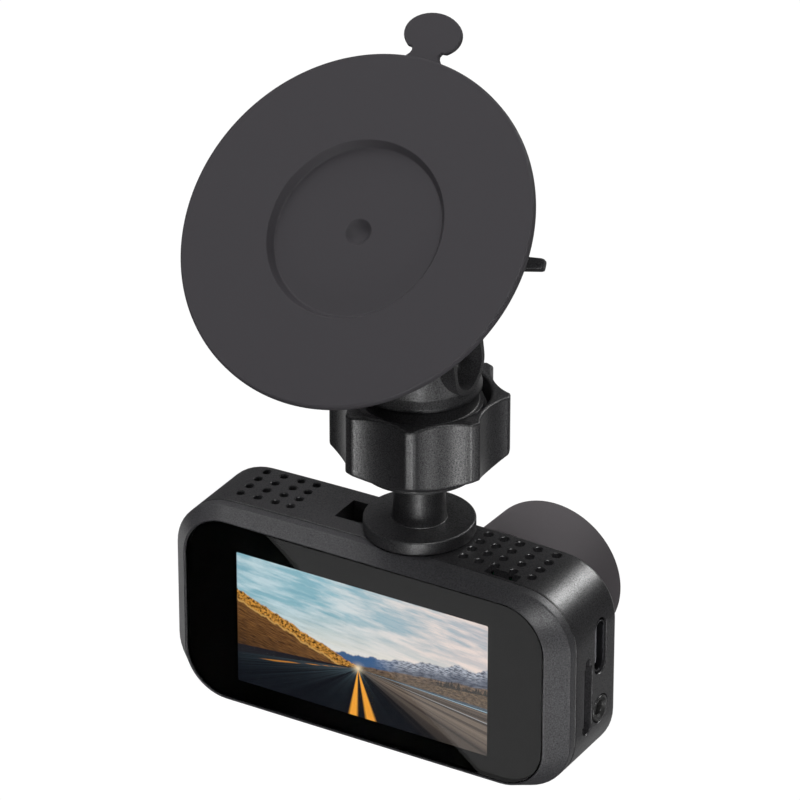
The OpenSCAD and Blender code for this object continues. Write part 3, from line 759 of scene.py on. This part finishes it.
def clamp_nut():
    """The fluted ring, from its top edge down the outside and up through the bore."""
    lobed = nut_outline(40)

    def disc(r, z):
        return circle(r, z, len(lobed), radians(NUT_PHASE + 22.5))

    def lobe(z, inset):
        return at_depth(shrunk(lobed, inset), z)

    def foot(rise, inset):
        """The lobed outline on the cone under the nut, so that flutes reach lower than lands."""
        return [Vector((p.x, p.y, CONE_Z + (p.length - COLLAR_R) * CONE_SLOPE + rise))
                for p in shrunk(lobed, inset)]

    low = disc(COLLAR_R, CONE_Z)
    loops = [lobe(NUT_TOP, 0.42), lobe(NUT_TOP - 0.07, 0.2), lobe(NUT_TOP - 0.2, 0.06),
             lobe(NUT_TOP - 0.4, 0), foot(0.5, 0), foot(0.2, 0.03), foot(0.05, 0.12)]
    loops += [[a.lerp(b, t) for a, b in zip(foot(0, 0.3), low)] for t in (0.0, 0.5, 0.96)]
    loops += [disc(r, z) for r, z in (
        (COLLAR_R, CONE_Z - 0.1), (COLLAR_R, NUT_BASE + 0.35), (9.3, NUT_BASE + 0.1), (9.05, NUT_BASE),
        (7.5, NUT_BASE), (7.28, NUT_BASE + 0.08), (7.2, NUT_BASE + 0.3), (7.2, 9.25), (8.75, 9.3),
        (NUT_BORE, 12.7), (NUT_BORE, NUT_TOP - 0.45), (NUT_BORE + 0.1, NUT_TOP - 0.2),
        (NUT_BORE + 0.35, NUT_TOP - 0.05), (NUT_BORE + 0.5, NUT_TOP))]
    return loft("fluted_nut", loops, STEM, ring=True)


BALL_R = 7.5


def ball_liner():
    """A slice of a hollow sphere between two heights."""
    inner, outer = BALL_R + 0.08, BALL_R + 1.08
    low, high = 11, 19

    def arc(r, z0, z1):
        a0, a1 = [atan2(sqrt(r * r - (z - BALL_Z) ** 2), z - BALL_Z) for z in (z0, z1)]
        return [(r * sin(a), BALL_Z + r * cos(a)) for a in [a0 + (a1 - a0) * k / 12 for k in range(13)]]

    return lathe("liner", arc(outer, low, high) + arc(inner, high, low), STEM, 96, ring=True)


DISC_R, DISC_T = (stud_high.x - stud_low.x) / 2, 2.3


def ball_stud():
    """Ball, tapered neck and base disc in one turn, and the tee foot under it."""
    neck_r, neck_z = 3.85, 6
    start = radians(180) - atan2(neck_r, sqrt(BALL_R ** 2 - neck_r ** 2))
    arc = [(BALL_R * sin(start * k / 20), BALL_Z + BALL_R * cos(start * k / 20)) for k in range(21)]
    profile = rounded(arc + [
        (3.86, neck_z, 0.3), (4.26, 0.12, 0.05), (4.36, 0, 0.05), (DISC_R, 0, 0.32),
        (DISC_R, -DISC_T, 0.3), (0, -DISC_T)], 5)
    stud = lathe("ball_and_disc", profile, STEM, 128)
    web = box("web", (-2.8, -1.3, -DISC_T - 2.2), (2.8, 1.3, -DISC_T + 0.5), STEM, bevel=0.2)
    tee = box("tee", (-3.8, -2.7, -DISC_T - 3.4), (3.8, 2.7, -DISC_T - 1.9), STEM, bevel=0.3)
    return combine(stud, [web, tee], "UNION")


# ---------------------------------------------------------------- camera casing

CORNER_R, CROWN_R, WALL = 9.0, 1000, 1.4
PART_D, CREASE_D, BACK_D = 6.55, 8.25, -6.4
GLASS_W, GLASS_H, GLASS_R = 64.0, 31.4, 7.3
GRILLE_X = (-26.5, -23.3, -20.1, -17.3)
VENT_X = (13.7, 16.5, 19.3, 22.5, 25.8)
ROW_Y = (4.25, 1.65, -0.95, -3.55)
# Depths of the glass's front and of the floor of its pocket
GLASS_D, POCKET_D = FRONT_D - 0.15, FRONT_D - 1.08
RIGHT = BODY_W / 2


def body_outline(inset=0.0):
    return outline(BODY_W - 2 * inset, BODY_H - 2 * inset, CORNER_R - inset, CROWN_R)


def crown_drop(x):
    return x * x / (2 * CROWN_R)


def rear_shell():
    """The rear shell, then every opening cut with a softened edge."""
    edge = 0.9
    levels = [(BACK_D + WALL, WALL), (PART_D, WALL), (PART_D, 0.28), (PART_D - 0.12, 0.1), (PART_D - 0.3, 0)]
    levels += [(BACK_D + edge * (1 - sin(a)), edge * (1 - cos(a)))
               for a in [pi / 2 * k / 6 for k in range(7)]]
    shell = loft("casing_rear", [at_depth(body_outline(i), d) for d, i in levels], FACE)
    cuts = [lathe("bore", [(0, 3), (11.55, 3), (11.55, 12), (0, 12)], LENS, 96)]
    cuts += [punch(x, y, 0.68) for x in GRILLE_X for y in ROW_Y]
    cuts += [punch(x, y, 0.76) for x in VENT_X for y in ROW_Y]
    cuts.append(box("vent_slot", (18.8, -6.1, -4), (24.5, -4.25, 1), BODY, bevel=0.25))
    cuts.append(box("rail_wide", (-9.7, -2.9, -4), (-1, 2.9, 1), BODY, bevel=0.15))
    cuts.append(box("rail_run", (-2, -1.6, -4), (7, 1.6, 1), BODY, bevel=0.15))
    cuts.append(side_plug(1.3, -12.1, 3.7, 9.7, RIGHT))
    cuts.append(side_plug(-2.65, -19.9, 2.9, 12.2, RIGHT))
    cuts.append(side_plug(-2.65, -13.9, 1.5, 2.6, RIGHT))
    cuts.append(side_plug(1.4, -23.3, 4.7, 4.7, RIGHT))
    cuts.append(side_plug(1.1, -BODY_H / 2, 3.2, 6.6, -RIGHT))
    return combine(shell, cuts, "DIFFERENCE")


def lens_barrel():
    """Flared barrel, its spigot in the shell's round hole and a step inside for the window."""
    rim_y = barrel_high.y - ball.y
    seat = -BACK_D + 0.02
    return lathe("barrel", rounded([
        (10.6, 5.1, 0.1), (11.5, 5.1, 0.1), (11.5, seat), (13.8, seat, 0.1), (12.95, 7.0, 1.5),
        (12.45, 9.4, 4), (12.3, 13, 20), (12.05, rim_y, 0.7), (11.35, rim_y, 0.15), (11.0, rim_y - 0.3, 0.1),
        (11.0, 18.3, 0.1), (10.6, 18.3, 0.1), (10.6, 5.1, 0.1)], 6), LENS, 160, ring=True)


def punch(x, y, r):
    """A drill for the top skin, flared at the surface."""
    top = -crown_drop(x)
    return lathe("punch", [(0, -4), (r, -4), (r, top - 0.16), (r + 0.12, top - 0.02), (r + 0.2, top + 0.4),
                           (0, top + 0.4)], BODY @ Matrix.Translation((x, y, 0)), 24)


def side_plug(y, z, w, h, x):
    """A stadium-shaped cutter through a side wall, flared at the surface."""
    soft = 0.16
    out = 1 if x > 0 else -1
    r = min(w, h) / 2 - 0.01
    levels = [(-3, 0), (-soft, 0), (-0.02, soft * 0.7), (0.5, soft)]
    loops = [at_depth(shifted(outline(w + 2 * g, h + 2 * g, r + g, steps=8, side=3), y, z), x + out * d)
             for d, g in levels]
    return loft("plug", loops, SIDE)


def front_bezel():
    """The sloped frame: narrow strip, crease, slope, then a thin lip round the glass."""
    lip = outline(GLASS_W + 0.8, GLASS_H + 0.7, 7.6)
    base = body_outline()
    rise = FRONT_D - CREASE_D

    def slope(depth, along):
        return at_depth(mixed(base, lip, along), depth)

    def ring(w, h, r, depth):
        return at_depth(outline(w, h, r), depth)

    loops = [at_depth(body_outline(0.26), PART_D + 0.02), at_depth(body_outline(0.08), PART_D + 0.14),
             at_depth(body_outline(0), PART_D + 0.3), slope(CREASE_D - 0.2, 0), slope(CREASE_D - 0.04, 0.006),
             slope(CREASE_D + 0.12, 0.036), slope(CREASE_D + 0.32, 0.32 / rise),
             slope(FRONT_D - 0.36, 1 - 0.36 / rise), slope(FRONT_D - 0.16, 1 - 0.17 / rise),
             slope(FRONT_D - 0.04, 1 - 0.075 / rise), slope(FRONT_D, 1)]
    loops += [ring(GLASS_W + 0.5, GLASS_H + 0.48, 7.45, FRONT_D),
              ring(GLASS_W + 0.34, GLASS_H + 0.34, 7.4, FRONT_D - 0.08),
              ring(GLASS_W + 0.3, GLASS_H + 0.3, 7.4, FRONT_D - 0.25),
              ring(GLASS_W + 0.3, GLASS_H + 0.3, 7.4, POCKET_D),
              ring(54.4, 27.6, 1, POCKET_D), ring(54.4, 27.6, 1, 9.05), ring(66.2, 31.4, 7, 8.9),
              ring(66.2, 31.4, 7, PART_D - 1.2), at_depth(body_outline(1.55), PART_D - 1.2),
              at_depth(body_outline(1.55), PART_D + 0.02)]
    return loft("casing_front", loops, FACE, ring=True)


def cover_glass():
    levels = [(GLASS_D - 0.9, 0.03), (GLASS_D - 0.87, 0), (GLASS_D - 0.02, 0), (GLASS_D, 0.02)]
    return loft("glass_plate", [at_depth(outline(GLASS_W - 2 * i, GLASS_H - 2 * i, GLASS_R - i), d)
                                for d, i in levels], FACE)


def printed_border():
    """The black print behind the glass, open over the picture, with the blackened edge of the glass."""
    shift = (PICTURE_X - BODY_X, PICTURE_Z - (BODY_TOP - BODY_H / 2))
    hole = shifted(outline(PICTURE_W, PICTURE_H, 0.25), *shift)
    outer = outline(GLASS_W + 0.06, GLASS_H + 0.06, 7.25)
    inner = outline(GLASS_W - 0.3, GLASS_H - 0.3, 7.1)
    rim, film = GLASS_D - 0.03, POCKET_D + 0.02
    section = ((outer, POCKET_D), (outer, rim), (inner, rim), (inner, film), (hole, film), (hole, POCKET_D))
    return loft("glass_print", [at_depth(loop, depth) for loop, depth in section], FACE, ring=True)


def tube(name, place, w, h, r, wall, low, high, shift):
    """A straight-sided tube of rounded section along the local Z axis."""
    soft = 0.08

    def loop(grow, depth):
        section = outline(w + 2 * grow, h + 2 * grow, r + grow, steps=8, side=4)
        return at_depth(shifted(section, *shift), depth)

    levels = [(0, low), (0, high - soft), (-soft, high), (-wall + soft, high), (-wall, high - soft),
              (-wall, low)]
    return loft(name, [loop(g, d) for g, d in levels], place, ring=True)


def usb_socket():
    shell = tube("usb_shell", SIDE, 3.26, 8.94, 1.6, 0.3, 27.8, RIGHT - 0.25, (1.23, -12.1))
    floor = box("usb_floor", (-0.2, -16.3, 27.8), (2.7, -7.9, 29), SIDE, bevel=0.1)
    return merged("usb_shell", [shell, floor])


def usb_tongue():
    plate = box("usb_tongue_plate", (0.88, -15.45, 29), (1.58, -8.75, RIGHT - 0.9), SIDE, bevel=0.12)
    pads = []
    for k in range(12):
        y = -15.1 + 0.56 * k
        pads.append(box("pad", (0.84, y, 31.5), (0.9, y + 0.3, RIGHT - 1.1), SIDE, bevel=0))
    return plate, merged("usb_contacts", pads)


def memory_card():
    """The card, with the raised grip along its outer edge."""
    low, high = corners("memory_card")
    x0, x1 = low.x - BODY_X, high.x - BODY_X
    card = box("card", (-3.0, -25.4, x0), (-2.3, -14.4, x1 - 0.2), SIDE, bevel=0.12)
    grip = box("card_grip", (-3.15, -25.2, x1 - 1.0), (-2.3, -14.6, x1), SIDE, bevel=0.2)
    return combine(card, [grip], "UNION")


def av_jack():
    block = box("jack_block", (-0.4, -26, 26.4), (4.2, -20.6, 33.8), SIDE, bevel=0.2)
    place = SIDE @ Matrix.Translation((1.4, -23.3, 0))
    nose = lathe("jack_nose", rounded([(0, 33), (2.2, 33), (2.2, RIGHT + 0.1, 0.2), (1.75, RIGHT + 0.1, 0.1),
                                       (1.27, RIGHT - 0.35, 0.1), (1.27, 27.5), (0, 27.5)], 4), place, 64)
    hole = lathe("jack_hole", [(0, 27.5), (1.27, 27.5), (1.27, 40), (0, 40)], place, 64)
    combine(block, [nose], "UNION")
    return combine(block, [hole], "DIFFERENCE")


def power_button():
    """A domed pill with a retaining flange behind the wall."""
    w, h = 2.6, 6

    def pill(grow, x):
        loop = outline(w + 2 * grow, h + 2 * grow, w / 2 - 0.01 + grow, steps=8, side=4)
        return at_depth(shifted(loop, 1.1, -BODY_H / 2), x)

    levels = [(0.8, -33.1), (0.8, -33.7), (0, -33.7), (0, -RIGHT - 0.1), (-0.08, -RIGHT - 0.3),
              (-0.3, -RIGHT - 0.42), (-0.7, -RIGHT - 0.45)]
    return loft("button_cap", [pill(g, x) for g, x in levels], SIDE)


# ---------------------------------------------------------------- lens front

def trim_ring():
    """The ring round the lens, whose inner slope is cut into six baffle steps."""
    low, high, bore, brim = 17.95, 20.6, 7.4, 9.9
    steps = [(brim - 2.5 * k / 6, high - 2.0 * k / 6) for k in range(7)]
    profile = [(bore, low)] + rounded([(9.8, low), (9.8, 18.5, 0.05), (10.95, 18.5, 0.1), (10.95, high, 0.15),
                                       (9.95, high)], 3)
    for (r0, z0), (r1, z1) in zip(steps, steps[1:]):
        profile += [(r0, z0 - 0.05), (r0, z1 + 0.02), (r1 + 0.03, z1)]
    profile += [(bore, 18.55), (bore, low)]
    return lathe("stepped_ring", profile, LENS, 128, ring=True)


def window_disc():
    r, low, high = 10.9, 20.62, 20.97
    return lathe("window_disc", rounded([(0, low), (r, low, 0.06), (r, high, 0.12), (0, high)], 4), LENS, 128)


def dome_lens():
    dome_r, flange = 11.0, 8.1
    top = 17.8
    edge = atan2(flange, sqrt(dome_r ** 2 - flange ** 2))
    arc = [(dome_r * sin(edge * k / 20), top - dome_r + dome_r * cos(edge * k / 20)) for k in range(21)]
    rear = [(flange, 13.0), (7.9, 12.72), (5.5, 12.72), (4.5, 13.1), (0, 13.9)]
    return lathe("dome_lens", arc + rear, LENS, 128)


# ---------------------------------------------------------------- put together

hand_in(suction_cup(), "mount", RUBBER, ["suction_cup"], sharp=50)
hand_in(cup_housing(), "mount", MOUNT, ["cup_housing"])
hand_in(mount_arm(), "mount", MOUNT, ["mount_arm"])
hand_in(lock_ring(), "lock_ring", NUT, ["lock_ring"])
hand_in(clamp_nut(), "clamp_nut", NUT, ["clamp_nut"], sharp=40)
hand_in(ball_liner(), "ball_seat", LINER, ["ball_seat"])
hand_in(ball_stud(), "ball_stud", MOUNT, ["ball_stud"])
hand_in(rear_shell(), "camera", SHELL, ["rear_shell"])
hand_in(lens_barrel(), "camera", BARREL, ["lens_barrel"])
hand_in(front_bezel(), "camera", BEZEL, ["front_bezel"])
hand_in(cover_glass(), "camera", GLASS, ["cover_glass"])
hand_in(printed_border(), "camera", PRINT)
hand_in(usb_socket(), "camera", NICKEL, ["usb_socket"])
tongue, contacts = usb_tongue()
hand_in(tongue, "camera", TONGUE, ["usb_tongue"])
hand_in(contacts, "camera", brushed("contact_gold", (0.85, 0.62, 0.25), 0.3))
hand_in(memory_card(), "memory_card", CARD, ["memory_card"])
hand_in(av_jack(), "camera", PORT, ["av_jack"])
hand_in(power_button(), "power_button", PORT, ["power_button"])
hand_in(trim_ring(), "camera", NUT, ["lens_trim_ring"], sharp=25)
hand_in(window_disc(), "camera", LENS_GLASS, ["lens_window"])
hand_in(dome_lens(), "camera", LENS_GLASS, ["front_lens"])

BY_SLOT = {
    "steel": STEEL, "screen": SCREEN, "tray_metal": TRAY, "polyimide": RIBBON, "cell_wrap": WRAP,
    "circuit_board": BOARD, "chip_plastic": CHIP, "thermal_pad": PAD, "switch_metal": TIN,
    "connector_plastic": PLUG_PLASTIC, "port_plastic": PORT, "mesh_fabric": MESH, "lens_black": LENS_BLACK,
    "lens_glass": LENS_GLASS, "shell_plastic": SHELL, "mount_plastic": MOUNT,
}
# The CAD nodes that no piece replaces are shown as they are, by the material of their slot
for part in record["subparts"]:
    if part["node"] not in replaced:
        node = frame["nodes"][part["node"]]
        for slot in node.material_slots:
            slot.material = BY_SLOT[part["material_slot"]]


# ---------------------------------------------------------------- camera, floor and light

def look(place, back, up):
    """A placement whose local -Z looks against back."""
    side = up.cross(back).normalized()
    m = Matrix((side, back.cross(side).normalized(), back)).transposed().to_4x4()
    m.translation = place
    return m


AZIMUTH, ELEVATION, DISTANCE = radians(30.54), radians(28.19), 0.9024
LENS_MM = 262.9
SHIFT_RIGHT, SHIFT_UP = -0.00302, 0.01782
back = Vector((sin(AZIMUTH) * cos(ELEVATION), -cos(AZIMUTH) * cos(ELEVATION), sin(ELEVATION)))
right = Vector((cos(AZIMUTH), sin(AZIMUTH), 0))
camera_up = back.cross(right)
aim = Vector((0, ball.y, DISC_Z)) * MM
camera_data = bpy.data.cameras.new("camera")
camera_data.lens = LENS_MM
camera_data.sensor_width = 36
camera_data.clip_start = 0.01
camera_data.clip_end = 20
camera = bpy.data.objects.new("camera", camera_data)
bpy.context.collection.objects.link(camera)
eye = aim + DISTANCE * back + SHIFT_RIGHT * right + SHIFT_UP * camera_up
camera.matrix_world = look(eye, back, camera_up)
scene = bpy.context.scene
scene.camera = camera
scene.view_settings.view_transform = "Standard"

world = bpy.data.worlds.new("studio")
world.use_nodes = True
world.node_tree.nodes["Background"].inputs["Color"].default_value = (1, 1, 1, 1)
world.node_tree.nodes["Background"].inputs["Strength"].default_value = 0.07
scene.world = world


def emitter(name, verts, strength, hidden=False):
    """A glowing sheet of the studio; a hidden one only shows in reflections."""
    mesh = bpy.data.meshes.new(name)
    mesh.from_pydata(verts, [], [tuple(range(len(verts)))])
    sheet = bpy.data.objects.new(name, mesh)
    bpy.context.collection.objects.link(sheet)
    net = Net(name)
    net.set(colour=(0, 0, 0), glow=(1, 1, 1), glow_power=strength, rough=1.0, spec=0.0)
    mesh.materials.append(net.material)
    sheet.visible_shadow = False
    sheet.visible_diffuse = False
    if hidden:
        sheet.visible_camera = False
    else:
        sheet.visible_glossy = False
        sheet.visible_transmission = False
    return sheet


# A square room reaches ROOM metres out from the object; its floor and walls glow a little past white
FLOOR_Z, ROOM, WALL_H, PALE = -0.42, 6, 4, 1.02
emitter("floor", [(x * ROOM, y * ROOM, FLOOR_Z) for x, y in ((-1, -1), (1, -1), (1, 1), (-1, 1))], PALE)
for wall, out in (("wall_east", X), ("wall_north", Y), ("wall_west", -X), ("wall_south", -Y)):
    foot, along = out * ROOM + Z * FLOOR_Z, Z.cross(out) * ROOM
    emitter(wall, [foot - along, foot + along, foot + along + Z * WALL_H, foot - along + Z * WALL_H], PALE)


CENTRE = Vector((0, 0.01, -0.05))


def softbox(name, direction, distance, size, power, size_y=None, diffuse=True, glossy=True):
    """An area light that faces the object; it may be kept out of the soft light or of reflections."""
    data = bpy.data.lights.new(name, "AREA")
    data.shape = "RECTANGLE"
    data.size = size
    data.size_y = size_y or size
    data.energy = power
    lamp = bpy.data.objects.new(name, data)
    bpy.context.collection.objects.link(lamp)
    direction = Vector(direction).normalized()
    lamp.matrix_world = look(CENTRE + direction * distance, direction, Z)
    lamp.visible_diffuse = diffuse
    lamp.visible_glossy = glossy


def behind_glass(points, reach):
    """Where the camera's rays through points of the glass arrive, reach metres after it mirrors them."""
    mirrored = camera.matrix_world.translation.copy()
    mirrored.y = 2 * (FACE @ Vector((0, 0, GLASS_D))).y * MM - mirrored.y
    out = []
    for x, y in points:
        p = (FACE @ Vector((x, y, GLASS_D))) * MM
        out.append(p + (p - mirrored).normalized() * reach)
    return out


softbox("top_fill", (-0.50, -0.15, 0.85), 0.7, 0.45, 4.2, glossy=False)
softbox("top_gloss", (-0.40, 0.30, 0.86), 0.8, 0.4, 0.9)
softbox("rear_right_strip", (0.34, 0.76, 0.56), 0.7, 0.16, 3.0, 0.24, diffuse=False)
softbox("front_low_box", (0.41, -0.77, -0.48), 0.8, 0.18, 4.3, 0.32)
softbox("front_right_high", (0.54, -0.51, 0.67), 0.8, 0.2, 4.4, 0.2)
softbox("right_low_box", (0.87, -0.08, -0.48), 0.8, 0.26, 1.5, 0.26)
softbox("left_low_box", (-0.86, 0.30, -0.42), 0.8, 0.3, 0.35, 0.3)
softbox("rear_low_box", (0.10, 0.88, -0.45), 0.8, 0.5, 0.45)
softbox("rear_left_fill", (-0.6, 0.45, 0.66), 0.7, 0.4, 2.8, glossy=False)

# In the glass the camera sees a black sheet, and nearer a pale one with a slanted edge
GLARE_TOP, GLARE_FOOT, GLARE_RIGHT = (-19.5, 17.6), (23.6, -17.6), 45
flag = [(x * 120, y * 90) for x, y in ((-1, -1), (1, -1), (1, 1), (-1, 1))]
glare = [GLARE_TOP, GLARE_FOOT, (GLARE_RIGHT, GLARE_FOOT[1]), (GLARE_RIGHT, GLARE_TOP[1])]
emitter("black_flag", behind_glass(flag, 0.50), 0.0, hidden=True)
emitter("glare_card", behind_glass(glare, 0.42), 0.37, hidden=True)
